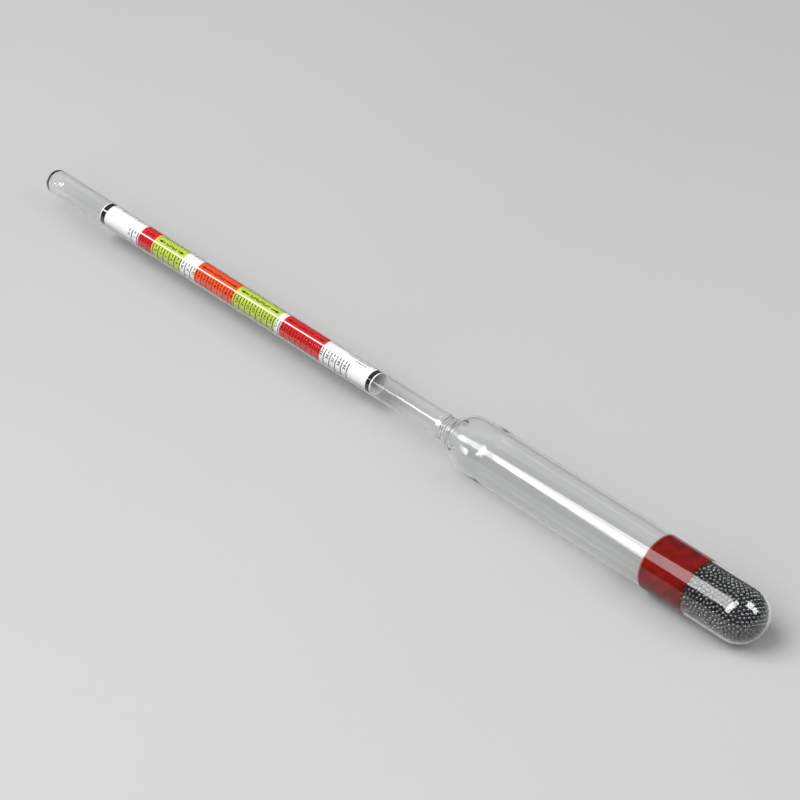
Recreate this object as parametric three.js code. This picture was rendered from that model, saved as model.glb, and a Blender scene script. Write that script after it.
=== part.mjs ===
// A brewing hydrometer: a sealed glass float with a printed paper scale in its stem, and steel shot
// held in its base by a plug of wax.
//
// Units are millimetres and +Z is up. The hydrometer lies on a bench at Z = 0, with its axis along +X
// from the closed tip of the stem to the ballasted end. The origin is on the bench, under the middle
// of the length. Distances named "..._AT" are measured along the axis from the tip.

import * as THREE from "three";

// --- Driving dimensions ---------------------------------------------------------------------------

const LENGTH = 254;
const FLOAT_RADIUS = 7.32;
const FLOAT_WALL = 0.55;
const STEM_RADIUS = 3.35;
const STEM_WALL = 0.24;

// Pieces that are fused, glued or packed together keep this much clear of each other end to end.
const END_GAP = 0.3;
// A piece inside a tube keeps this much clear of the tube's wall.
const WALL_GAP = 0.1;

// The stem's closed end is a dome with the small pip where the gas flame pulled the tube off.
const PIP_HEIGHT = 0.25;
const PIP_RADIUS = 0.6;
const TIP_THICKNESS = 0.75;

// The neck is where the stem was melted onto the float. Its glass is thick and ringed with ripples.
const NECK_AT = 147.8;
const NECK_LENGTH = 5.8;
const NECK_BORE_RADIUS = 2.55;
const RIPPLES = 6;
const RIPPLE_HEIGHT = 0.14;
const NECK_FOOT_RADIUS = 3.75;

// The float's base is a little thicker than its barrel.
const BASE_THICKNESS = 0.6;

// The scale is a rolled sheet, whose edges overlap on the side that is turned away.
const PAPER_AT = 23.7;
const PAPER_LENGTH = 102.7;
const PAPER_THICKNESS = 0.1;
const PAPER_TURN_GAP = 0.08;
const PAPER_OVERLAP = THREE.MathUtils.degToRad(50);
const PAPER_SEAM_ANGLE = THREE.MathUtils.degToRad(-110);

// A bead of adhesive holds the sheet's inner edge, near the top of the scale, inside the roll.
const ADHESIVE_RADIUS = 0.35;
const ADHESIVE_LENGTH = 6;
const ADHESIVE_INSET = 3;

// The wax was poured onto the shot with the float upright, and climbed the glass a little as it set.
const WAX_AT = 221.1;
const WAX_LENGTH = 13.5;
const MENISCUS_DEPTH = 0.9;
const MENISCUS_WIDTH = 2.2;

// --- Facets ---------------------------------------------------------------------------------------

// Every turned piece has this many flat sides, one of them facing straight down.
const SIDES = 28;
// Corners stand out by this factor, so that the middle of each side is at the true radius.
const CORNER_FACTOR = 1 / Math.cos(Math.PI / SIDES);
const ARC_STEPS = 9;
const RIPPLE_STEPS = 4;

// --- Materials ------------------------------------------------------------------------------------

const glass = new THREE.MeshStandardMaterial({
  color: 0xe9f2f3,
  roughness: 0.03,
  metalness: 0,
  transparent: true,
  opacity: 0.35,
});
const paper = new THREE.MeshStandardMaterial({ color: 0xf6f4ef, roughness: 0.8, metalness: 0 });
const adhesive = new THREE.MeshStandardMaterial({ color: 0xe6dcb8, roughness: 0.35, metalness: 0 });
const wax = new THREE.MeshStandardMaterial({ color: 0xb5220f, roughness: 0.4, metalness: 0 });
const steel = new THREE.MeshStandardMaterial({ color: 0x8d9092, roughness: 0.3, metalness: 0.9 });

// --- Turned outlines ------------------------------------------------------------------------------

const QUARTER_TURN = Math.PI / 2;

// An outline is a list of points (radius, distance along the axis).
function point(radius, along) {
  return new THREE.Vector2(radius, along);
}

// Points on a quarter or part of an ellipse about (0, centre). The angle is 0 on the axis towards
// the tip and 90 degrees at the widest place.
function arc(centre, radius, depth, fromAngle, toAngle, steps = ARC_STEPS) {
  const points = [];
  for (let step = 0; step <= steps; step += 1) {
    const angle = THREE.MathUtils.lerp(fromAngle, toAngle, step / steps);
    points.push(point(radius * Math.sin(angle), centre - depth * Math.cos(angle)));
  }
  return points;
}

// A piece turned about the axis, with its outline swept through SIDES flat sides.
function turned(name, outline, material) {
  const corners = outline.map((p) => point(Math.max(p.x, 0) * CORNER_FACTOR, p.y));
  const geometry = new THREE.LatheGeometry(corners, SIDES, Math.PI / SIDES);
  const mesh = new THREE.Mesh(geometry, material);
  mesh.name = name;
  mesh.rotation.z = -Math.PI / 2;
  return mesh;
}

// --- Glass envelope -------------------------------------------------------------------------------

function stemTube() {
  const domeCentre = PIP_HEIGHT + STEM_RADIUS;
  const boreRadius = STEM_RADIUS - STEM_WALL;
  const boreDepth = domeCentre - PIP_HEIGHT - TIP_THICKNESS;
  const pipFoot = Math.asin((1.5 * PIP_RADIUS) / STEM_RADIUS);
  const outline = [
    point(0, 0),
    point(0.6 * PIP_RADIUS, 0.3 * PIP_HEIGHT),
    point(PIP_RADIUS, PIP_HEIGHT),
    ...arc(domeCentre, STEM_RADIUS, STEM_RADIUS, pipFoot, QUARTER_TURN),
    point(STEM_RADIUS, NECK_AT - END_GAP),
    point(boreRadius, NECK_AT - END_GAP),
    ...arc(domeCentre, boreRadius, boreDepth, QUARTER_TURN, 0),
  ];
  return turned("stem_tube", outline, glass);
}

function neckJoint() {
  const outside = [];
  const steps = RIPPLES * RIPPLE_STEPS;
  for (let step = 0; step <= steps; step += 1) {
    const share = step / steps;
    const spread = (NECK_FOOT_RADIUS - STEM_RADIUS) * share ** 3;
    const ripple = 0.5 * RIPPLE_HEIGHT * (1 - Math.cos(2 * Math.PI * RIPPLES * share));
    outside.push(point(STEM_RADIUS + spread + ripple, NECK_AT + NECK_LENGTH * share));
  }
  const outline = [
    ...outside,
    point(NECK_BORE_RADIUS, NECK_AT + NECK_LENGTH),
    point(NECK_BORE_RADIUS, NECK_AT),
    outside[0],
  ];
  return turned("neck_joint", outline, glass);
}

// Where the float's shoulder meets the foot of the neck.
const SHOULDER_AT = NECK_AT + NECK_LENGTH + END_GAP;
const SHOULDER_START = Math.asin(NECK_FOOT_RADIUS / FLOAT_RADIUS);
const SHOULDER_CENTRE = SHOULDER_AT + FLOAT_RADIUS * Math.cos(SHOULDER_START);
const BASE_CENTRE = LENGTH - FLOAT_RADIUS;
const BORE_RADIUS = FLOAT_RADIUS - FLOAT_WALL;

function floatTube() {
  const boreStart = Math.asin(NECK_BORE_RADIUS / BORE_RADIUS);
  const outside = [
    ...arc(SHOULDER_CENTRE, FLOAT_RADIUS, FLOAT_RADIUS, SHOULDER_START, QUARTER_TURN),
    ...arc(BASE_CENTRE, FLOAT_RADIUS, FLOAT_RADIUS, QUARTER_TURN, Math.PI),
  ];
  const baseDepth = FLOAT_RADIUS - BASE_THICKNESS;
  const inside = [
    ...arc(BASE_CENTRE, BORE_RADIUS, baseDepth, Math.PI, QUARTER_TURN),
    ...arc(SHOULDER_CENTRE, BORE_RADIUS, BORE_RADIUS, QUARTER_TURN, boreStart),
    point(NECK_BORE_RADIUS, SHOULDER_AT),
  ];
  return turned("float_tube", [...outside, ...inside, outside[0]], glass);
}

// --- Scale ----------------------------------------------------------------------------------------

const PAPER_RADIUS = STEM_RADIUS - STEM_WALL - WALL_GAP;
const PAPER_PITCH = PAPER_THICKNESS + PAPER_TURN_GAP;
const PAPER_TURN = 2 * Math.PI + PAPER_OVERLAP;

// The radius of the sheet's outer face after it has rolled inwards through an angle.
function rolledRadius(turn) {
  return PAPER_RADIUS - (PAPER_PITCH * turn) / (2 * Math.PI);
}

function scalePaper() {
  const steps = Math.round((SIDES * PAPER_TURN) / (2 * Math.PI));
  const outerFace = [];
  const innerFace = [];
  for (let step = 0; step <= steps; step += 1) {
    const turn = (PAPER_TURN * step) / steps;
    const angle = PAPER_SEAM_ANGLE + turn;
    const direction = point(Math.cos(angle), Math.sin(angle));
    outerFace.push(direction.clone().multiplyScalar(rolledRadius(turn)));
    innerFace.push(direction.clone().multiplyScalar(rolledRadius(turn) - PAPER_THICKNESS));
  }
  const section = new THREE.Shape([...outerFace, ...innerFace.reverse()]);
  const geometry = new THREE.ExtrudeGeometry(section, { depth: PAPER_LENGTH, bevelEnabled: false });
  const mesh = new THREE.Mesh(geometry, paper);
  mesh.name = "scale_paper";
  // The section's X and Y become the row's Y and Z, and its depth runs along +X.
  const sectionToRow = new THREE.Matrix4().makeBasis(
    new THREE.Vector3(0, 1, 0),
    new THREE.Vector3(0, 0, 1),
    new THREE.Vector3(1, 0, 0),
  );
  mesh.setRotationFromMatrix(sectionToRow);
  mesh.position.x = PAPER_AT;
  return mesh;
}

function scaleAdhesive() {
  const geometry = new THREE.CapsuleGeometry(ADHESIVE_RADIUS, ADHESIVE_LENGTH, 4, 12);
  const mesh = new THREE.Mesh(geometry, adhesive);
  mesh.name = "scale_adhesive";
  const angle = PAPER_SEAM_ANGLE + PAPER_TURN;
  const innerFace = rolledRadius(PAPER_TURN) - PAPER_THICKNESS;
  const radius = innerFace - WALL_GAP - ADHESIVE_RADIUS;
  mesh.rotation.z = -QUARTER_TURN;
  mesh.position.set(
    PAPER_AT + ADHESIVE_INSET + ADHESIVE_RADIUS + ADHESIVE_LENGTH / 2,
    radius * Math.cos(angle),
    radius * Math.sin(angle),
  );
  return mesh;
}

// --- Ballast --------------------------------------------------------------------------------------

const FILL_RADIUS = BORE_RADIUS - WALL_GAP;

function waxPlug() {
  const meniscus = [];
  for (let step = 0; step <= ARC_STEPS; step += 1) {
    const share = step / ARC_STEPS;
    const radius = FILL_RADIUS - MENISCUS_WIDTH * (1 - share);
    meniscus.push(point(radius, WAX_AT + MENISCUS_DEPTH * (1 - share ** 2)));
  }
  const outline = [
    point(0, WAX_AT + MENISCUS_DEPTH),
    ...meniscus,
    point(FILL_RADIUS, WAX_AT + WAX_LENGTH),
    point(0, WAX_AT + WAX_LENGTH),
  ];
  return turned("wax_plug", outline, wax);
}

// The shot is some two thousand loose-packed balls, joined here into the one body that they fill.
function shotBallast() {
  const start = WAX_AT + WAX_LENGTH + END_GAP;
  const depth = FLOAT_RADIUS - BASE_THICKNESS - WALL_GAP;
  const outline = [
    point(0, start),
    point(FILL_RADIUS, start),
    ...arc(BASE_CENTRE, FILL_RADIUS, depth, QUARTER_TURN, Math.PI),
  ];
  return turned("shot_ballast", outline, steel);
}

// --- Assembly -------------------------------------------------------------------------------------

const hydrometer = new THREE.Group();
hydrometer.position.set(-LENGTH / 2, 0, FLOAT_RADIUS);
hydrometer.add(
  stemTube(),
  neckJoint(),
  floatTube(),
  scalePaper(),
  scaleAdhesive(),
  waxPlug(),
  shotBallast(),
);

export default hydrometer;
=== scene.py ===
"""A brewing hydrometer lying on a pale floor: a fused glass envelope, a rolled and printed paper scale,
a plug of red wax and the steel shot that it holds in the base.

The frame gives every size and place. Along the axis, distances are from the closed tip of the stem."""

import math

import bmesh
import bpy
import numpy as np
from mathutils import Matrix, Vector


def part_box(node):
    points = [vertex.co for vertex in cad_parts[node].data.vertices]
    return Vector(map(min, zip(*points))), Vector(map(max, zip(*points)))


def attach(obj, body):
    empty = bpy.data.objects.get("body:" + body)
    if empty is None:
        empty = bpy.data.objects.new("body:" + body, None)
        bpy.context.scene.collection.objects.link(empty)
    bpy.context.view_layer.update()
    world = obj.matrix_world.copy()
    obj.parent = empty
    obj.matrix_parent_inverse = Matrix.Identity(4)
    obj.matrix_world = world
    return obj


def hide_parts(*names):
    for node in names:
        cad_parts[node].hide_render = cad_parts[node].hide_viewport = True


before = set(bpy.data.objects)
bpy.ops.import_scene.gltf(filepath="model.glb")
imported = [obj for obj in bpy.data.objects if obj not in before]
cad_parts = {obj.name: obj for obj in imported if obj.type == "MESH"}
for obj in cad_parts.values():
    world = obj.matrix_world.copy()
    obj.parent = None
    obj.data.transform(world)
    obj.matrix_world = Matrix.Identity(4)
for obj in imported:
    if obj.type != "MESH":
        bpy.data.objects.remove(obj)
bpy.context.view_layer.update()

MM = 0.001
BODY = "root"
RNG_SEED = 7

# --- Sizes from the frame ---------------------------------------------------------------------------


def span(node, axis):
    """Where a node of the frame starts and ends along an axis."""
    low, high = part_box(node)
    return low[axis], high[axis]


TIP_X, _ = span("stem_tube", 0)
_, END_X = span("float_tube", 0)
FLOAT_BOTTOM, FLOAT_TOP = span("float_tube", 2)
STEM_BOTTOM, STEM_TOP = span("stem_tube", 2)
AXIS_Z = (FLOAT_BOTTOM + FLOAT_TOP) / 2
FLOAT_R = (FLOAT_TOP - FLOAT_BOTTOM) / 2
STEM_R = (STEM_TOP - STEM_BOTTOM) / 2
PAPER_START, PAPER_END = span("scale_paper", 0)
WAX_START, WAX_END = span("wax_plug", 0)
SHOT_START, _ = span("shot_ballast", 0)

STEM_WALL = 0.24 * MM
FLOAT_WALL = 0.55 * MM
BASE_WALL = 0.6 * MM
STEM_BORE = STEM_R - STEM_WALL
FLOAT_BORE = FLOAT_R - FLOAT_WALL
BASE_CENTRE_X = END_X - FLOAT_R
SHOULDER_CENTRE_X = TIP_X + 160.25 * MM

# --- Mesh helpers -----------------------------------------------------------------------------------


def new_piece(name, vertices, faces, materials, face_slots=None):
    """A smooth mesh object that rides on the hydrometer's body."""
    mesh = bpy.data.meshes.new(name)
    mesh.from_pydata([tuple(v) for v in vertices], [], [tuple(f) for f in faces])
    for material in materials:
        mesh.materials.append(material)
    if face_slots is not None:
        mesh.polygons.foreach_set("material_index", np.asarray(face_slots, np.int32))
    mesh.polygons.foreach_set("use_smooth", np.ones(len(mesh.polygons), bool))
    mesh.update()
    piece = bpy.data.objects.new(name, mesh)
    bpy.context.scene.collection.objects.link(piece)
    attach(piece, BODY)
    return piece


def around(x, radius, angle):
    """A point at an angle about the hydrometer's axis, from +Y towards +Z."""
    return (x, radius * math.cos(angle), AXIS_Z + radius * math.sin(angle))


def lofted(rings, inward=False):
    """Vertices and faces of a surface through rings of points, from the tip's side to the base's side.
    A ring of one point is a pole."""
    sides = max(len(ring) for ring in rings)
    vertices, faces = [], []
    for near, far in zip([None] + rings, rings):
        if near is not None:
            first, second = len(vertices) - len(near), len(vertices)
            for k in range(sides):
                after = (k + 1) % sides
                corners = [first + k % len(near), second + k % len(far),
                           second + after % len(far), first + after % len(near)]
                face = [c for i, c in enumerate(corners) if c != corners[i - 1]]
                faces.append(face if inward else face[::-1])
        vertices += far
    return vertices, faces


def ring_angles(sides):
    return [2 * math.pi * k / sides for k in range(sides)]


def revolved(profile, sides, inward=False):
    """A surface turned about the axis. The profile is a list of (x, radius)."""
    rings = [[around(x, 0, 0)] if radius <= 0 else [around(x, radius, a) for a in ring_angles(sides)]
             for x, radius in profile]
    return lofted(rings, inward)


def joined(*parts):
    """Several (vertices, faces) pairs as one."""
    vertices, faces = [], []
    for part_vertices, part_faces in parts:
        offset = len(vertices)
        vertices += part_vertices
        faces += [[offset + corner for corner in face] for face in part_faces]
    return vertices, faces


# --- Materials --------------------------------------------------------------------------------------


class Shader:
    """A material with one Principled shader, and short ways to add nodes to it."""

    def __init__(self, name, **values):
        self.material = bpy.data.materials.new(name)
        self.material.use_nodes = True
        self.tree = self.material.node_tree
        self.principled = self.tree.nodes["Principled BSDF"]
        for socket, value in values.items():
            self.principled.inputs[socket.replace("_", " ")].default_value = value

    def node(self, kind, **settings):
        made = self.tree.nodes.new("ShaderNode" + kind)
        for key, value in settings.items():
            setattr(made, key, value)
        return made

    def link(self, output, target):
        self.tree.links.new(output, target)

    def noise(self, scale, detail=3.0, stretch=(1, 1, 1)):
        """Noise over the object's own coordinates. A larger scale is finer, and a stretch under 1
        draws it out along that axis."""
        place = self.node("TexCoord")
        mapping = self.node("Mapping")
        mapping.inputs["Scale"].default_value = stretch
        texture = self.node("TexNoise")
        texture.inputs["Scale"].default_value = scale
        texture.inputs["Detail"].default_value = detail
        self.link(place.outputs["Object"], mapping.inputs["Vector"])
        self.link(mapping.outputs["Vector"], texture.inputs["Vector"])
        return texture.outputs["Fac"]

    def ramp(self, factor, *stops):
        """A colour ramp through (position, colour) stops."""
        ramp = self.node("ValToRGB")
        elements = ramp.color_ramp.elements
        while len(elements) < len(stops):
            elements.new(0.5)
        for element, (position, colour) in zip(elements, stops):
            element.position = position
            element.color = (*colour, 1)
        self.link(factor, ramp.inputs["Fac"])
        return ramp.outputs["Color"]

    def spread(self, factor, low, high):
        """The factor, from 0.3 to 0.7, spread over low to high."""
        mapped = self.node("MapRange")
        mapped.inputs["From Min"].default_value = 0.3
        mapped.inputs["From Max"].default_value = 0.7
        mapped.inputs["To Min"].default_value = low
        mapped.inputs["To Max"].default_value = high
        self.link(factor, mapped.inputs["Value"])
        return mapped.outputs["Result"]

    def bump(self, factor, strength, distance):
        """Relief on the principled shader, from the factor."""
        bump = self.node("Bump")
        bump.inputs["Strength"].default_value = strength
        bump.inputs["Distance"].default_value = distance
        self.link(factor, bump.inputs["Height"])
        self.link(bump.outputs["Normal"], self.principled.inputs["Normal"])


# The darkest fibres keep this share of the paper's colour.
FIBRE_SHADE = 0.94


def glass_material():
    """Clear drawn glass, with faint streaks along it. Lamps shine through it onto what is inside, and
    its edges, seen at a slant, dim them as the real glass's bending of light does. Its colour darkens
    towards the slanted edges too: painted shade for the dark edges that bent light gives real glass,
    with a little of it from the longer path through the glass."""
    shader = Shader("clear_glass", Roughness=0.0, IOR=1.5, Transmission_Weight=1.0)
    shader.link(shader.spread(shader.noise(900, 2.0, (0.15, 1, 1)), 0.0, 0.012),
                shader.principled.inputs["Roughness"])
    shader.bump(shader.noise(260, 1.0, (0.08, 1, 1)), 0.006, 0.05 * MM)
    path = shader.node("LightPath")
    slant = shader.node("LayerWeight")
    slant.inputs["Blend"].default_value = 0.5
    facing = slant.outputs["Facing"]
    # Painted shade: the glass's colour darkens towards its slanted edges, standing in for the dark edges
    # that bent light gives it.
    painted_edge_shade = shader.ramp(facing, (0.55, (0.99, 0.995, 0.995)), (0.85, (0.86, 0.88, 0.88)),
                       (1.0, (0.42, 0.45, 0.46)))
    shader.link(painted_edge_shade, shader.principled.inputs["Base Color"])
    shade = shader.ramp(facing, (0.0, (0.98, 0.98, 0.98)), (0.8, (0.86, 0.87, 0.87)),
                        (1.0, (0.3, 0.31, 0.31)))
    through = shader.node("BsdfTransparent")
    mix = shader.node("MixShader")
    shader.link(shade, through.inputs["Color"])
    shader.link(path.outputs["Is Shadow Ray"], mix.inputs["Fac"])
    shader.link(shader.principled.outputs["BSDF"], mix.inputs[1])
    shader.link(through.outputs["BSDF"], mix.inputs[2])
    shader.link(mix.outputs["Shader"], shader.tree.nodes["Material Output"].inputs["Surface"])
    return shader.material


def paper_material(name, colour, see_through=0.0):
    """Uncoated paper, or ink on it: the colour with the paper's fibres showing in it."""
    dark = tuple(FIBRE_SHADE * channel for channel in colour)
    shader = Shader(name, Roughness=0.75, IOR=1.45, Specular_IOR_Level=0.05,
                    Subsurface_Weight=see_through, Subsurface_Radius=(1.0, 0.9, 0.85),
                    Subsurface_Scale=0.25 * MM)
    fibres = shader.noise(5200, 4.0, (0.5, 1, 1))
    shader.link(shader.ramp(fibres, (0.35, dark), (0.65, colour)), shader.principled.inputs["Base Color"])
    shader.link(shader.spread(fibres, 0.68, 0.82), shader.principled.inputs["Roughness"])
    shader.bump(fibres, 0.25, 0.02 * MM)
    return shader.material


def wax_material(name, deep, bright, specular):
    """Cloudy dyed wax, from its deep colour to its bright one."""
    shader = Shader(name, Roughness=0.4, Specular_IOR_Level=specular, Subsurface_Weight=0.25,
                    Subsurface_Radius=(1.0, 0.2, 0.1), Subsurface_Scale=0.6 * MM)
    clouds = shader.noise(420, 5.0)
    shader.link(shader.ramp(clouds, (0.3, deep), (0.72, bright)), shader.principled.inputs["Base Color"])
    shader.link(shader.spread(shader.noise(1500, 3.0), 0.3, 0.5), shader.principled.inputs["Roughness"])
    shader.bump(shader.noise(900, 3.0), 0.3, 0.05 * MM)
    return shader.material


def steel_material():
    """Ground steel, a little lighter and darker from one ball to the next."""
    shader = Shader("shot_steel", Metallic=1.0)
    patches = shader.noise(700, 1.0)
    shader.link(shader.ramp(patches, (0.3, (0.05, 0.051, 0.053)), (0.7, (0.085, 0.087, 0.09))),
                shader.principled.inputs["Base Color"])
    shader.link(shader.spread(shader.noise(2500, 2.0), 0.29, 0.34), shader.principled.inputs["Roughness"])
    return shader.material


def adhesive_material():
    """Yellowed, cloudy adhesive."""
    shader = Shader("clear_adhesive", Roughness=0.3, IOR=1.48)
    clouds = shader.noise(1800, 3.0)
    shader.link(shader.ramp(clouds, (0.3, (0.72, 0.66, 0.48)), (0.7, (0.86, 0.8, 0.62))),
                shader.principled.inputs["Base Color"])
    return shader.material


# --- Glass envelope ---------------------------------------------------------------------------------

GLASS_SIDES = 160
PIP_HEIGHT = 0.25 * MM
PIP_WIDTH = 0.42 * MM
TIP_WALL = 0.75 * MM
NECK_BORE = 2.45 * MM
NECK_OUTER_FILLET = 6.0 * MM
NECK_INNER_FILLET = 1.2 * MM
NECK_BULGE = 0.08 * MM
NECK_BULGE_LENGTH = 4 * MM
# The shoulder was blown out to a faint ridge, and the barrel behind the ridge is a hair slimmer.
SHOULDER_SHORT = 0.05 * MM
RIDGE_X = TIP_X + 166.2 * MM
RIDGE_HEIGHT = 0.06 * MM
RIDGE_LENGTH = 2.6 * MM
RING_SPACING = 4 * MM
FIRST_RING = 0.3 * MM
# The bore narrows at this distance from the tip, over the length of the step, with rings behind it.
BORE_NARROWS = 149.0 * MM
BORE_RINGS = 3
BORE_RING_LENGTH = 0.95 * MM
BORE_RING_HEIGHT = 0.2 * MM
BORE_STEP = 1.1 * MM


def swept(start, stop, steps):
    """Evenly spaced values from start to stop, both included."""
    return [start + (stop - start) * k / steps for k in range(steps + 1)]


def circle_profile(centre_x, depth, radius, start, stop, steps=24):
    """Points on an ellipse centred on the axis. The angle is 0 towards the tip, and half a turn towards
    the base."""
    return [(centre_x - depth * math.cos(a), radius * math.sin(a)) for a in swept(start, stop, steps)]


def smooth_step(value):
    value = min(max(value, 0.0), 1.0)
    return value * value * (3 - 2 * value)


def tip_profile():
    """The flame-sealed dome, with its pip, out to where the stem starts."""
    centre = TIP_X + PIP_HEIGHT + STEM_R
    points = []
    for angle in swept(0, math.pi / 2, 30):
        radius = STEM_R * math.sin(angle)
        pip = PIP_HEIGHT * math.exp(-((radius / PIP_WIDTH) ** 2))
        points.append((centre - STEM_R * math.cos(angle) - pip, radius))
    return points


def flared(neck_radius, ball_radius, fillet):
    """A neck opening into the shoulder's ball through a round fillet, out to the ball's full radius."""
    fillet_r = neck_radius + fillet
    run = math.sqrt((ball_radius + fillet) ** 2 - fillet_r**2)
    fillet_x = SHOULDER_CENTRE_X - run
    meet = math.atan2(fillet_r, run)
    arc = [(fillet_x + fillet * math.cos(a), fillet_r - fillet * math.sin(a))
           for a in swept(math.pi / 2, meet, 16)]
    return arc + circle_profile(SHOULDER_CENTRE_X, ball_radius, ball_radius, meet, math.pi / 2)[1:]


def neck_outside():
    """The stem swells faintly at the seal, then widens into the shoulder and its ridge."""
    flare = flared(STEM_R, FLOAT_R - SHOULDER_SHORT, NECK_OUTER_FILLET)
    swell_start = flare[0][0] - NECK_BULGE_LENGTH
    swell = [(swell_start + NECK_BULGE_LENGTH * share, STEM_R + NECK_BULGE * math.sin(math.pi * share) ** 2)
             for share in swept(0, 1, 24)]
    ridge = [(RIDGE_X + RIDGE_LENGTH * share, FLOAT_R - RIDGE_HEIGHT * (1 - (1 - share) ** 2))
             for share in swept(0, 1, 12)]
    return swell + flare[1:] + ridge


def neck_inside():
    """The bore closes down at the seal, with melted rings in it, and opens into the shoulder."""
    flare = flared(NECK_BORE, FLOAT_BORE, NECK_INNER_FILLET)
    start = TIP_X + BORE_NARROWS
    points = []
    for x in swept(start, flare[0][0], 84):
        radius = STEM_BORE + (NECK_BORE - STEM_BORE) * smooth_step((x - start) / BORE_STEP)
        turns = (x - start - 0.8 * BORE_STEP) / BORE_RING_LENGTH
        if 0 < turns < BORE_RINGS:
            radius -= BORE_RING_HEIGHT * math.sin(math.pi * turns) ** 2
        points.append((x, radius))
    return points + flare[1:]


def ringed(profile):
    """The profile with closely spaced points along its straight runs, so that they shade as straight."""
    points = [profile[0]]
    for (x, radius), (next_x, next_radius) in zip(profile, profile[1:]):
        run = next_x - x
        if run > 2 * RING_SPACING:
            between = swept(0, run, round(run / RING_SPACING))[1:-1]
            for along in (FIRST_RING, *between, run - FIRST_RING):
                points.append((x + along, radius + (next_radius - radius) * along / run))
        points.append((next_x, next_radius))
    return points


def outer_profile():
    """The outside of the glass, from the tip to the base."""
    base = circle_profile(BASE_CENTRE_X, FLOAT_R, FLOAT_R, math.pi / 2, math.pi, 36)
    return ringed([(TIP_X, 0), *tip_profile()[1:], *neck_outside(), *base[:-1], (END_X, 0)])


def inner_profile():
    """The inside of the glass, from the tip to the base."""
    dome_x = TIP_X + PIP_HEIGHT + STEM_R
    dome = circle_profile(dome_x, STEM_R - TIP_WALL, STEM_BORE, 0, math.pi / 2, 20)
    base_depth = FLOAT_R - BASE_WALL
    base = circle_profile(BASE_CENTRE_X, base_depth, FLOAT_BORE, math.pi / 2, math.pi, 30)
    return ringed([(dome[0][0], 0), *dome[1:], *neck_inside(), *base[:-1], (base[-1][0], 0)])


def make_envelope():
    """The whole glass as one closed piece with two walls."""
    outside = revolved(outer_profile(), GLASS_SIDES)
    inside = revolved(inner_profile(), GLASS_SIDES, inward=True)
    piece = new_piece("glass_envelope", *joined(outside, inside), [glass_material()])
    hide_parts("stem_tube", "neck_joint", "float_tube")
    return piece


# --- Paper scale ------------------------------------------------------------------------------------

PAPER_R = STEM_BORE - 0.03 * MM
PAPER_THICKNESS = 0.18 * MM
PAPER_PITCH = 0.21 * MM
PAPER_SEAM = math.radians(-110)
PAPER_OVERLAP = math.radians(50)
# The sheet was rolled a little askew, so that its printed columns wind slowly around the stem.
PAPER_SKEW = math.radians(-0.164) / MM
PRINT_LIFT = 0.012 * MM

PAPER_COLUMNS = 130
PAPER_ROW = 3 * MM

# The angle of the white line around the roll, from the sheet's outer long edge, and its width.
LINE_TURN = math.radians(238.7)
LINE_WIDTH = 0.32 * MM

WHITE, BLACK, RED, GREEN, ORANGE, YELLOW = range(6)
# Bands of the scale: where each one ends, from the top edge of the paper, its colour, and the half
# length of the name in it.
BANDS = (
    (0.35, WHITE, 0),
    (1.9, BLACK, 0),
    (15.2, WHITE, 0),
    (20.7, RED, 1.5),
    (31.7, GREEN, 2.0),
    (37.2, WHITE, 0),
    (52.1, ORANGE, 2.0),
    (67.6, GREEN, 3.6),
    (69.5, WHITE, 0),
    (84.3, RED, 2.6),
    (101.0, WHITE, 0),
    (102.35, BLACK, 0),
)
BORDER = 0.22

PAPER_COLOURS = (
    ("paper_white", (0.9, 0.89, 0.88)),
    ("ring_black", (0.008, 0.008, 0.008)),
    ("band_red", (0.77, 0.004, 0.004)),
    ("band_green", (0.53, 0.67, 0.065)),
    ("band_orange", (0.97, 0.08, 0.004)),
    ("border_yellow", (0.88, 0.72, 0.12)),
)


def roll_radius(turn):
    return PAPER_R - PAPER_PITCH * turn / (2 * math.pi)


def on_roll(along, turn, lift=0.0):
    """A point of the sheet, at a distance from its top edge and an angle from its outer long edge."""
    angle = PAPER_SEAM + PAPER_SKEW * along + turn
    return around(PAPER_START + along, roll_radius(turn) + lift, angle)


def band_edges():
    """The places along the sheet where its colour changes, and the colours between them."""
    edges, colours = [0.0], []
    for (end, colour, _), (_, following, _) in zip(BANDS, BANDS[1:] + ((None, WHITE, 0),)):
        coloured = colour not in (WHITE, BLACK) and following not in (WHITE, BLACK)
        edges.append(end - BORDER if coloured else end)
        colours.append(colour)
        if coloured:
            edges.append(end)
            colours.append(YELLOW)
    edges.append((PAPER_END - PAPER_START) / MM)
    colours.append(WHITE)
    return [e * MM for e in edges], colours


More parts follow.
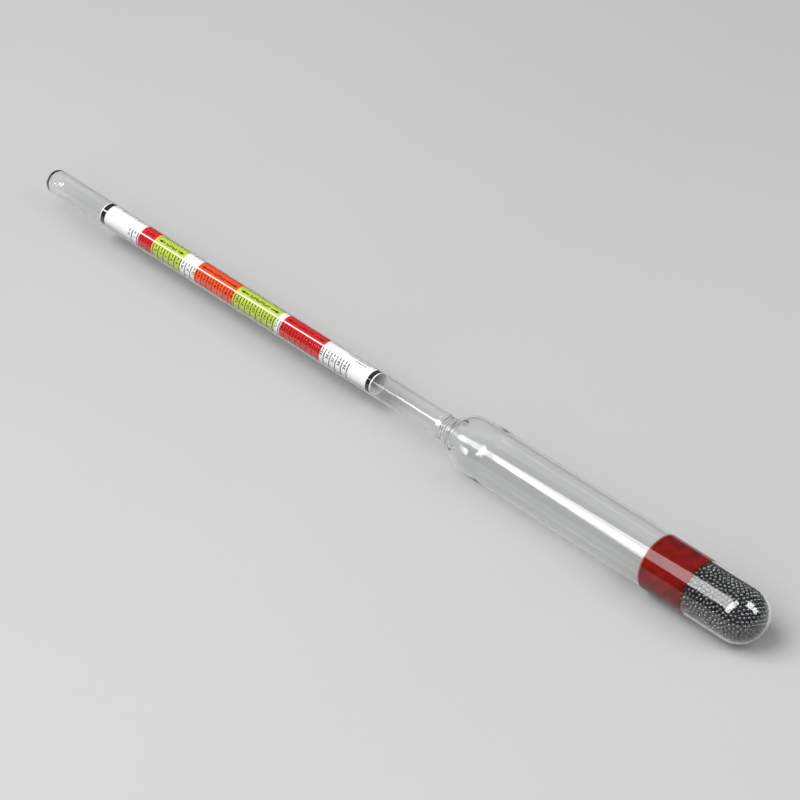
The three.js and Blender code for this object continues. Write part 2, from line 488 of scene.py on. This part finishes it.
def make_paper():
    """The sheet as one closed strip, with its colours on its outer face. One white line crosses them all
    but the lower ring."""
    full_turn = 2 * math.pi + PAPER_OVERLAP
    half_line = 0.5 * LINE_WIDTH / roll_radius(LINE_TURN)
    turns = sorted(swept(0, full_turn, PAPER_COLUMNS) + [LINE_TURN - half_line, LINE_TURN + half_line])
    edges, colours = band_edges()
    places, place_colours = [edges[0]], []
    for start, end, colour in zip(edges, edges[1:], colours):
        steps = max(1, round((end - start) / PAPER_ROW))
        places += swept(start, end, steps)[1:]
        place_colours += [colour] * steps
    vertices = [on_roll(p, t) for p in places for t in turns]
    vertices += [on_roll(p, t, -PAPER_THICKNESS) for p in places for t in turns]
    across, inner = len(turns), len(places) * len(turns)
    lower_ring_row = len(place_colours) - 1 - place_colours[::-1].index(BLACK)
    faces, slots = [], []
    for row, colour in enumerate(place_colours):
        for column in range(across - 1):
            corner = row * across + column
            quad = [corner, corner + 1, corner + across + 1, corner + across]
            middle = (turns[column] + turns[column + 1]) / 2
            on_line = abs(middle - LINE_TURN) < half_line and row < lower_ring_row
            faces.append(quad)
            slots.append(WHITE if on_line else colour)
            faces.append([inner + c for c in reversed(quad)])
            slots.append(WHITE)
    for row in range(len(places) - 1):
        for column in (0, across - 1):
            a, b = row * across + column, (row + 1) * across + column
            side = [a, b, inner + b, inner + a]
            faces.append(side[::-1] if column else side)
            slots.append(WHITE)
    for column in range(across - 1):
        for row in (0, len(places) - 1):
            a, b = row * across + column, row * across + column + 1
            side = [a, b, inner + b, inner + a]
            faces.append(side if row else side[::-1])
            slots.append(WHITE)
    materials = [paper_material(name, colour, see_through=0.5 if name == "paper_white" else 0.0)
                 for name, colour in PAPER_COLOURS]
    piece = new_piece("scale_paper_roll", vertices, faces, materials, slots)
    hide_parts("scale_paper")


# --- Print on the paper -----------------------------------------------------------------------------

# Places along the sheet are in mm from its top edge, and places across it in mm from the white line.
TICK_WIDTH = 0.3
FINE_TICK_WIDTH = 0.12
PATCH_COLUMN = 0.3
PATCH_ROW = 2.0
GREY, INK = range(2)

ZERO_AT = 11.6
DEGREE = 2.091
LAST_DEGREE = 39
SUGAR_TICKS_AT = 0.3
SUGAR_SHORT_TO = 1.1
SUGAR_LONG_TO = 5.0
SUGAR_NUMBERS_AT = 1.75
SUGAR_DIGIT = 0.76

# The float's mass in mg, the volume under the stem's foot in cubic mm, where the foot is from the tip,
# and the area of the stem's section.
FLOAT_MASS = 20370.0
FOOT_VOLUME = 16177.0
FOOT_FROM_TIP = 154.0
STEM_AREA = 35.26
FIRST_GRAVITY = 0.990
GRAVITY_STEP = 0.002
GRAVITY_STEPS = 90
GRAVITY_TICKS_AT = -2.5
GRAVITY_SHORT_TO = -3.5
GRAVITY_LONG_TO = -4.4
GRAVITY_NUMBERS_AT = -5.8

ALCOHOL_PER_DEGREE = 0.57
LAST_ALCOHOL = 20
ALCOHOL_TICKS_AT = -7.7
ALCOHOL_SHORT_TO = -8.6
ALCOHOL_LONG_TO = -9.2
ALCOHOL_NUMBERS_AT = -10.4
COLUMN_DIGIT = 0.95

ZONE_ACROSS = -1.07
ZONE_MARGIN = 0.6
ARROW_HEAD = 1.35
ARROW_HALF_WIDTH = 0.42
ARROW_GAP = 0.45
SHAFT = 0.17
# How far each upright dash that stands for a letter reaches towards the white line, and away from it.
NAME_DASHES = ((0.42, 0.36), (0.42, 0.1), (0.36, 0.4), (0.16, 0.42))
NAME_PITCH = 0.6
NAME_DASH_START = 0.06
NAME_DASH_END = 0.72
# Each row of small print: its place across, its first dash, and how many dashes it has.
NOTE_ROWS = ((-1.9, 91.7, 10), (-1.0, 94.9, 5))
NOTE_DASHES = (0.42, 0.6, 0.5)
NOTE_PITCH = 0.76
NOTE_HALF_HEIGHT = 0.13
HAIRLINE = 0.03


class Print:
    """Flat ink shapes on the sheet, gathered into one mesh."""

    def __init__(self):
        self.vertices = []
        self.faces = []
        self.slots = []

    def place(self, along, across):
        """One more vertex, just off the sheet."""
        turn = LINE_TURN + across * MM / roll_radius(LINE_TURN)
        self.vertices.append(on_roll(along * MM, turn, PRINT_LIFT))

    def patch(self, along, across, ink=INK):
        """A rectangle, cut finely enough to bend with the roll."""
        columns = max(1, math.ceil((across[1] - across[0]) / PATCH_COLUMN))
        rows = max(1, math.ceil((along[1] - along[0]) / PATCH_ROW))
        first = len(self.vertices)
        for a in swept(along[0], along[1], rows):
            for c in swept(across[0], across[1], columns):
                self.place(a, c)
        for row in range(rows):
            for column in range(columns):
                corner = first + row * (columns + 1) + column
                self.faces.append([corner, corner + 1, corner + columns + 2, corner + columns + 1])
                self.slots.append(ink)

    def tick(self, along, start, end, width=TICK_WIDTH):
        """A line across the sheet."""
        self.patch((along - width / 2, along + width / 2), (start, end))

    def glyphs(self, text, along, across, height):
        """Digits centred on a point. Their tops are towards the stem's tip."""
        outlines = [glyph(character) for character in text]
        width = sum(outline[2] for outline in outlines) * height
        pen = across + width / 2
        for points, faces, advance in outlines:
            first = len(self.vertices)
            for x, y in points:
                self.place(along + (0.5 - y) * height, pen - x * height)
            self.faces += [[first + corner for corner in face] for face in faces]
            self.slots += [INK] * len(faces)
            pen -= advance * height

    def arrow_head(self, along, across, size):
        """A filled triangle. A positive size points it to the base, and a negative one to the tip."""
        columns = swept(-ARROW_HALF_WIDTH, ARROW_HALF_WIDTH, 6)
        for near, far in zip(columns, columns[1:]):
            first = len(self.vertices)
            self.place(along - size, across + near)
            self.place(along - size, across + far)
            for edge in (far, near):
                if abs(edge) < ARROW_HALF_WIDTH:
                    self.place(along - size * abs(edge) / ARROW_HALF_WIDTH, across + edge)
            face = list(range(first, len(self.vertices)))
            self.faces.append(face if size > 0 else face[::-1])
            self.slots.append(INK)


GLYPHS = {}
FONT_DIGIT = 0.7
GLYPH_GAP = 0.18
GLYPH_BOLDNESS = 0.04


def glyph(character):
    """The outline of one character of Blender's own font as points, faces and advance, 1 high."""
    if character not in GLYPHS:
        curve = bpy.data.curves.new("glyph", "FONT")
        curve.body = character
        curve.resolution_u = 2
        curve.offset = GLYPH_BOLDNESS
        text = bpy.data.objects.new("glyph", curve)
        bpy.context.scene.collection.objects.link(text)
        bpy.context.view_layer.update()
        mesh = text.evaluated_get(bpy.context.evaluated_depsgraph_get()).to_mesh()
        points = np.array([vertex.co[:2] for vertex in mesh.vertices])
        faces = [list(polygon.vertices) for polygon in mesh.polygons]
        points[:, 0] -= points[:, 0].min()
        GLYPHS[character] = (points / FONT_DIGIT, faces, points[:, 0].max() / FONT_DIGIT + GLYPH_GAP)
        bpy.data.objects.remove(text)
        bpy.data.curves.remove(curve)
    return GLYPHS[character]


def print_sugar_column(sheet):
    """Degrees of sugar by weight: long ticks on the halves, and a number beside a short tick on each
    whole degree."""
    for degree in range(LAST_DEGREE + 1):
        along = ZERO_AT + degree * DEGREE
        sheet.tick(along, SUGAR_TICKS_AT, SUGAR_SHORT_TO)
        sheet.glyphs(str(degree), along, SUGAR_NUMBERS_AT, SUGAR_DIGIT)
        sheet.tick(along + DEGREE / 2, SUGAR_TICKS_AT, SUGAR_LONG_TO)


def print_gravity_column(sheet):
    """Specific gravity: the volume under water, and so the depth, goes as one over the gravity."""
    for step in range(GRAVITY_STEPS + 1):
        gravity = FIRST_GRAVITY + GRAVITY_STEP * step
        from_tip = FOOT_FROM_TIP - (FLOAT_MASS / gravity - FOOT_VOLUME) / STEM_AREA
        along = from_tip - (PAPER_START - TIP_X) / MM
        numbered = step % 5 == 0
        end, width = (GRAVITY_LONG_TO, TICK_WIDTH) if numbered else (GRAVITY_SHORT_TO, FINE_TICK_WIDTH)
        sheet.tick(along, end, GRAVITY_TICKS_AT, width)
        if numbered:
            thousandths = round(gravity * 1000)
            full = thousandths % 100 == 0 or thousandths < 1000
            label = f"{thousandths / 1000:.3f}" if full else str(thousandths % 100)
            sheet.glyphs(label, along, GRAVITY_NUMBERS_AT, COLUMN_DIGIT)


def print_alcohol_column(sheet):
    """Potential alcohol, in parts of a hundred by volume."""
    for half in range(2 * LAST_ALCOHOL + 1):
        along = ZERO_AT + 0.5 * half * DEGREE / ALCOHOL_PER_DEGREE
        numbered = half % 2 == 0
        end, width = (ALCOHOL_LONG_TO, TICK_WIDTH) if numbered else (ALCOHOL_SHORT_TO, FINE_TICK_WIDTH)
        sheet.tick(along, end, ALCOHOL_TICKS_AT, width)
        if numbered:
            sheet.glyphs(str(half // 2), along, ALCOHOL_NUMBERS_AT, COLUMN_DIGIT)


def print_zone_names(sheet):
    """A double arrow down each long coloured band, and upright dashes where a name would be."""
    for (start, _, _), (end, _, name) in zip(BANDS, BANDS[1:]):
        if not name:
            continue
        middle = (start + end) / 2
        reach = (end - start) / 2 - ZONE_MARGIN
        shaft = name + ARROW_GAP
        if reach > shaft + ARROW_HEAD:
            for side in (-1, 1):
                sheet.arrow_head(middle + side * reach, ZONE_ACROSS, side * ARROW_HEAD)
                ends = sorted((middle + side * shaft, middle + side * (reach - 0.6 * ARROW_HEAD)))
                sheet.patch(ends, (ZONE_ACROSS - SHAFT, ZONE_ACROSS + SHAFT))
        count = round(2 * name / NAME_PITCH)
        pitch = 2 * name / count
        for k in range(count):
            along = middle - name + k * pitch
            top, bottom = NAME_DASHES[k % len(NAME_DASHES)]
            dash = (along + NAME_DASH_START, along + pitch * NAME_DASH_END)
            sheet.patch(dash, (ZONE_ACROSS - bottom, ZONE_ACROSS + top))


def print_notes(sheet):
    """Two short rows of fine dashes, in place of small print."""
    for across, first, count in NOTE_ROWS:
        for k in range(count):
            along = first + NOTE_PITCH * k
            dash = NOTE_DASHES[k % len(NOTE_DASHES)]
            sheet.patch((along, along + dash), (across - NOTE_HALF_HEIGHT, across + NOTE_HALF_HEIGHT))


def make_print():
    """All the ink, with a grey hairline where the white line crosses a white band."""
    sheet = Print()
    print_sugar_column(sheet)
    print_gravity_column(sheet)
    print_alcohol_column(sheet)
    print_zone_names(sheet)
    print_notes(sheet)
    for (start, _, _), (end, colour, _) in zip(BANDS, BANDS[1:]):
        if colour == WHITE:
            sheet.patch((start, end), (-HAIRLINE, HAIRLINE), GREY)
    hairline = paper_material("hairline_grey", (0.5, 0.5, 0.5))
    ink = paper_material("ink_black", (0.012, 0.012, 0.012))
    piece = new_piece("scale_print", sheet.vertices, sheet.faces, [hairline, ink], sheet.slots)


# --- Shot -------------------------------------------------------------------------------------------

BALL_R = 0.54 * MM
BALL_GAP = 0.03 * MM
WALL_BALLS = 690
SECOND_BALLS = 430
INNER_BALLS = 220
LAYER_STEP = 1.6 * BALL_R
# How far up into the wax the balls reach.
BURIED = 1.5 * MM
LEAST_DIVISOR = 1e-9


def onto_shell(points, inset):
    """Points moved to the float's bore, less an inset, in the round base or along its straight wall."""
    centre = np.array([BASE_CENTRE_X, 0, AXIS_Z])
    half_axes = np.array([FLOAT_R - BASE_WALL, FLOAT_BORE, FLOAT_BORE]) - inset
    offset = points - centre
    offset[:, 0] = np.maximum(offset[:, 0], SHOT_START - BURIED - BASE_CENTRE_X)
    scaled = offset / half_axes
    straight = offset[:, 0] < 0
    scaled[straight, 0] = 0
    scaled /= np.maximum(np.linalg.norm(scaled, axis=1, keepdims=True), LEAST_DIVISOR)
    moved = scaled * half_axes
    moved[straight, 0] = offset[straight, 0]
    return moved + centre


def pushed_apart(points, fixed, spacing):
    """One step that moves points off each other, and off the fixed ones."""
    others = np.vstack([points, fixed]) if len(fixed) else points
    away = points[:, None, :] - others[None, :, :]
    distance = np.linalg.norm(away, axis=2)
    itself = np.arange(len(points))
    distance[itself, itself] = 1.0
    share = np.where(np.arange(len(others)) < len(points), 0.5, 1.0)
    push = np.maximum(spacing - distance, 0) * share / np.maximum(distance, LEAST_DIVISOR)
    return points + (away * push[:, :, None]).sum(axis=1) * 0.9


def packed_balls(count, inset, fixed, rng, steps):
    """Ball centres that crowd against the bore at an inset, pushed off each other step by step."""
    start = SHOT_START - BURIED
    points = np.column_stack([rng.uniform(start, END_X, count), *rng.normal(0, FLOAT_R / 2, (2, count))])
    points[:, 2] += AXIS_Z
    points = onto_shell(points, inset)
    for _ in range(steps):
        points = pushed_apart(points, fixed, 2 * BALL_R)
        points = onto_shell(points, inset)
    return points


def ball_mesh(centres, subdivisions, rng):
    """Vertices and faces of a ball at each centre. The balls differ a little in size."""
    shape = bmesh.new()
    bmesh.ops.create_icosphere(shape, subdivisions=subdivisions, radius=1.0)
    unit = np.array([vertex.co[:] for vertex in shape.verts])
    faces = np.array([[vertex.index for vertex in face.verts] for face in shape.faces])
    shape.free()
    sizes = BALL_R * rng.uniform(0.95, 1.0, len(centres))
    vertices = (centres[:, None, :] + unit[None] * sizes[:, None, None]).reshape(-1, 3)
    offsets = np.arange(len(centres))[:, None, None] * len(unit)
    return vertices, (faces[None] + offsets).reshape(-1, 3)


def make_shot():
    """Three crowded layers of balls, with the finest meshes in the outermost. Returns that layer's
    centres, and the pieces."""
    rng = np.random.default_rng(RNG_SEED)
    inset = BALL_R + BALL_GAP
    wall = packed_balls(WALL_BALLS, inset, np.empty((0, 3)), rng, 260)
    second = packed_balls(SECOND_BALLS, inset + LAYER_STEP, wall, rng, 120)
    inner = packed_balls(INNER_BALLS, inset + 2 * LAYER_STEP, second, rng, 60)
    steel = steel_material()
    half = len(wall) // 2
    layers = (("shot_wall_lower", wall[:half], 3), ("shot_wall_upper", wall[half:], 3),
              ("shot_second_layer", second, 2), ("shot_inner_layer", inner, 2))
    pieces = []
    for name, centres, subdivisions in layers:
        piece = new_piece(name, *ball_mesh(centres, subdivisions, rng), [steel])
        if name == "shot_wall_lower":
            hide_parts("shot_ballast")
        pieces.append(piece)
    return wall, pieces


# --- Wax --------------------------------------------------------------------------------------------

WAX_SIDES = 256
# The wax wets the glass, so its side lies a hair inside the wall.
WAX_R = FLOAT_BORE + 0.03 * MM
# The width of the lighter band where the wax meets the glass: partly the thin film of wax, partly a painted
# highlight.
WAX_FILM_HIGHLIGHT_WIDTH = 0.35 * MM
WAX_HOLLOW = 0.6 * MM
# How far the wax ran down beside the balls, as a share of the nearest one's distance.
WAX_RUN = 0.75
WAX_WAVER = 0.1 * MM
WAX_UNEVEN = 0.06 * MM
MENISCUS_DEPTH = 0.9 * MM
MENISCUS_REACH = 0.75 * MM
# The wax's material slots; the edge slot is its lighter rim, partly thin film and partly a painted
# highlight.
WAX_SIDE, WAX_TOP, WAX_FILM_HIGHLIGHT = range(3)


def wax_edge(angle, balls):
    """Where the wax ends on the wall: it ran further between the balls than over them."""
    point = np.array(around(SHOT_START, FLOAT_BORE - BALL_R, angle))
    nearest = np.linalg.norm(balls - point, axis=1).min()
    return SHOT_START + WAX_RUN * (nearest - BALL_R) + WAX_WAVER * math.sin(3 * angle + 1)


def wax_top(radius, angle):
    """The dished top: it climbs the glass at its rim, and is slightly uneven."""
    rise = math.exp(-(WAX_R - radius) / MENISCUS_REACH)
    uneven = WAX_UNEVEN * math.sin(2 * angle + 0.6) * radius / WAX_R
    return WAX_START + MENISCUS_DEPTH * (1 - rise) + uneven * (1 - rise)


def make_wax(balls):
    """The plug as one closed piece: its top, its side along the glass, and its hollow underside."""
    angles = ring_angles(WAX_SIDES)
    edges = [wax_edge(angle, balls) for angle in angles]
    rings = [[around(wax_top(0, 0), 0, 0)]]
    slots = []
    for share in swept(0, 1, 26)[1:]:
        radius = WAX_R * (1 - (1 - share) ** 2)
        rings.append([around(wax_top(radius, a), radius, a) for a in angles])
        slots.append(WAX_TOP)
    rim = WAX_FILM_HIGHLIGHT_WIDTH / (WAX_END - WAX_START)
    for share in (rim, 0.25, 0.5, 0.75, 0.9, 1.0):
        rings.append([around(WAX_START + share * (edge - WAX_START), WAX_R, a)
                      for a, edge in zip(angles, edges)])
        slots.append(WAX_FILM_HIGHLIGHT if share == rim else WAX_SIDE)
    for radius, back in ((0.985, 0.1), (0.95, 0.35), (0.85, 0.55), (0.5, 0.6)):
        rings.append([around(edge - back * MM, radius * WAX_R, a) for a, edge in zip(angles, edges)])
        slots.append(WAX_SIDE)
    rings.append([around(SHOT_START - WAX_HOLLOW, 0, 0)])
    slots.append(WAX_SIDE)
    vertices, faces = lofted(rings)
    materials = [
        wax_material("wax_red", (0.1, 0.0013, 0.001), (0.24, 0.006, 0.003), 0.0),
        wax_material("wax_surface", (0.15, 0.003, 0.0015), (0.28, 0.007, 0.004), 0.5),
        # The rim's lighter red is partly the thin film of wax on the glass, partly a painted highlight.
        wax_material("wax_rim_film_highlight", (0.34, 0.09, 0.06), (0.42, 0.15, 0.11), 0.0),
    ]
    face_slots = [slot for slot in slots for _ in range(WAX_SIDES)]
    piece = new_piece("wax_seal", vertices, faces, materials, face_slots)
    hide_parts("wax_plug")


# --- Adhesive ---------------------------------------------------------------------------------------


def dress_adhesive():
    """The bead keeps its shape from the frame, with a material of its own."""
    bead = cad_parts["scale_adhesive"]
    bead.data.materials.clear()
    bead.data.materials.append(adhesive_material())


# --- Stage, lights and camera -----------------------------------------------------------------------

CAMERA_AZIMUTH = math.radians(46.2)
CAMERA_ELEVATION = math.radians(37.4)
CAMERA_DISTANCE = 0.958
CAMERA_LENS_MM = 175.4
AIM_FROM_TIP = 134.4 * MM
AIM_BELOW_AXIS = 0.36 * MM


def direction(azimuth, elevation):
    """The direction from the object to a viewer at that azimuth and elevation."""
    flat = math.cos(elevation)
    return Vector((math.sin(azimuth) * flat, -math.cos(azimuth) * flat, math.sin(elevation)))


def make_camera():
    back = direction(CAMERA_AZIMUTH, CAMERA_ELEVATION)
    across = Vector((0, back.z, -back.y)).normalized()
    target = Vector((TIP_X + AIM_FROM_TIP, 0, AXIS_Z)) - AIM_BELOW_AXIS * across
    camera = bpy.data.objects.new("camera", bpy.data.cameras.new("camera"))
    camera.data.lens = CAMERA_LENS_MM
    camera.data.clip_start = 0.01
    bpy.context.scene.collection.objects.link(camera)
    bpy.context.scene.camera = camera
    place = target + CAMERA_DISTANCE * back
    camera.location = place
    camera.rotation_euler = (target - place).to_track_quat("-Z", "Y").to_euler()


def softbox(name, place, toward, side, size, radiance, pieces, link_state):
    """A rectangular lamp that shines against toward, with its first edges along side. It lights nothing
    but the pieces if the link state is INCLUDE, and everything but them if it is EXCLUDE."""
    lamp = bpy.data.lights.new(name, "AREA")
    lamp.shape = "RECTANGLE"
    lamp.size, lamp.size_y = size
    lamp.energy = radiance * math.pi * size[0] * size[1]
    box = bpy.data.objects.new(name, lamp)
    bpy.context.scene.collection.objects.link(box)
    turn = Matrix((side, toward.cross(side), toward)).transposed().to_4x4()
    box.matrix_world = Matrix.Translation(place) @ turn
    receivers = bpy.data.collections.new(name + "_receivers")
    for piece in pieces:
        receivers.objects.link(piece)
    for entry in receivers.collection_objects:
        entry.light_linking.link_state = link_state
    box.light_linking.receiver_collection = receivers


def level_softbox(name, middle, azimuth, elevation, distance, size, radiance, pieces, link_state):
    """A square lamp that faces the middle, from an azimuth and an elevation in degrees."""
    toward = direction(math.radians(azimuth), math.radians(elevation))
    level = Vector((-toward.y, toward.x, 0)).normalized()
    place = middle + distance * toward
    softbox(name, place, toward, level, (size, size), radiance, pieces, link_state)


def make_room_lights(glass, balls):
    """Three large soft lamps light everything but the glass, and one more gives each ball its spark."""
    middle = Vector(((TIP_X + END_X) / 2, 0, 0))
    level_softbox("key", middle, azimuth=-35, elevation=58, distance=1.1, size=0.9, radiance=7.0,
                  pieces=[glass], link_state="EXCLUDE")
    level_softbox("fill_end", middle, azimuth=110, elevation=42, distance=1.0, size=0.6, radiance=4.5,
                  pieces=[glass], link_state="EXCLUDE")
    level_softbox("fill_front", middle, azimuth=18, elevation=24, distance=1.0, size=0.6, radiance=3.4,
                  pieces=[glass], link_state="EXCLUDE")
    level_softbox("spark", middle, azimuth=20, elevation=62, distance=0.9, size=0.42, radiance=42.0,
                  pieces=balls, link_state="INCLUDE")


# The lamps of the long highlight, seen from the middle of the round base: the way to them, and the way
# from there to the long lamp's far corner.
LONG_TOWARD = Vector((-0.35, -0.59, 0.727)).normalized()
LONG_CORNER = Vector((-0.917, 0.057, -0.395))
LONG_DISTANCE = 0.5
LONG_SIZE = 0.34
# How far the long lamp leans about the line through its far corner.
LONG_LEAN = math.radians(41)
# How far each lamp is moved towards that corner, and across.
LONG_SHIFT = (0.035, 0.008)
WIDE_SHIFT = (-0.1, -0.01)
WIDE_SIZE = (0.52, 0.2)


def make_glass_lights(glass):
    """The lamps that the glass shows: a square one that stands on its corner, so that its highlight ends
    in a point along the stem, a wide one that the round base shows, and two off the base's end, which
    show there and again inside the shoulder."""
    base = Vector((BASE_CENTRE_X, 0, AXIS_Z))
    middle = base + LONG_DISTANCE * LONG_TOWARD
    corner = (LONG_CORNER - LONG_CORNER.dot(LONG_TOWARD) * LONG_TOWARD).normalized()
    across = LONG_TOWARD.cross(corner)
    leaning = math.cos(LONG_LEAN) * across + math.sin(LONG_LEAN) * LONG_TOWARD
    long_place = middle + LONG_SHIFT[0] * corner + LONG_SHIFT[1] * across
    softbox("glass_long", long_place, toward=corner.cross(leaning), side=(corner + leaning).normalized(),
            size=(LONG_SIZE, LONG_SIZE), radiance=4.8, pieces=[glass], link_state="INCLUDE")
    wide_place = middle + WIDE_SHIFT[0] * corner + WIDE_SHIFT[1] * across
    wide_side = (0.47 * corner + 0.88 * across).normalized()
    softbox("glass_wide", wide_place, toward=LONG_TOWARD, side=wide_side,
            size=WIDE_SIZE, radiance=7.0, pieces=[glass], link_state="INCLUDE")
    level_softbox("glass_end_high", base, azimuth=113, elevation=53, distance=0.6, size=0.25, radiance=9.0,
                  pieces=[glass], link_state="INCLUDE")
    level_softbox("glass_end_low", base, azimuth=113, elevation=29, distance=0.6, size=0.2, radiance=9.0,
                  pieces=[glass], link_state="INCLUDE")


FLOOR_HALF = 3.0


def make_floor():
    """A plain pale floor, barely mottled."""
    shader = Shader("pale_floor", Roughness=0.7)
    shade = shader.ramp(shader.noise(6, 3.0), (0.3, (0.37, 0.37, 0.367)), (0.7, (0.384, 0.384, 0.381)))
    shader.link(shade, shader.principled.inputs["Base Color"])
    corners = [(x * FLOOR_HALF, y * FLOOR_HALF, 0) for x, y in ((-1, -1), (1, -1), (1, 1), (-1, 1))]
    mesh = bpy.data.meshes.new("floor")
    mesh.from_pydata(corners, [], [(0, 1, 2, 3)])
    mesh.materials.append(shader.material)
    floor = bpy.data.objects.new("floor", mesh)
    bpy.context.scene.collection.objects.link(floor)


def make_world():
    """A dim grey studio, a little lighter overhead."""
    world = bpy.data.worlds.new("studio")
    world.use_nodes = True
    tree = world.node_tree
    place = tree.nodes.new("ShaderNodeTexCoord")
    split = tree.nodes.new("ShaderNodeSeparateXYZ")
    ramp = tree.nodes.new("ShaderNodeValToRGB")
    ramp.color_ramp.elements[0].color = (0.11, 0.111, 0.113, 1)
    ramp.color_ramp.elements[1].position = 0.75
    ramp.color_ramp.elements[1].color = (0.21, 0.212, 0.215, 1)
    tree.links.new(place.outputs["Generated"], split.inputs["Vector"])
    tree.links.new(split.outputs["Z"], ramp.inputs["Fac"])
    tree.links.new(ramp.outputs["Color"], tree.nodes["Background"].inputs["Color"])
    bpy.context.scene.world = world


make_camera()
make_floor()
make_world()
envelope = make_envelope()
make_paper()
make_print()
wall_balls, shot_pieces = make_shot()
make_wax(wall_balls)
make_room_lights(envelope, shot_pieces)
make_glass_lights(envelope)
dress_adhesive()
bpy.context.scene.view_settings.view_transform = "Standard"
bpy.context.scene.cycles.caustics_refractive = False
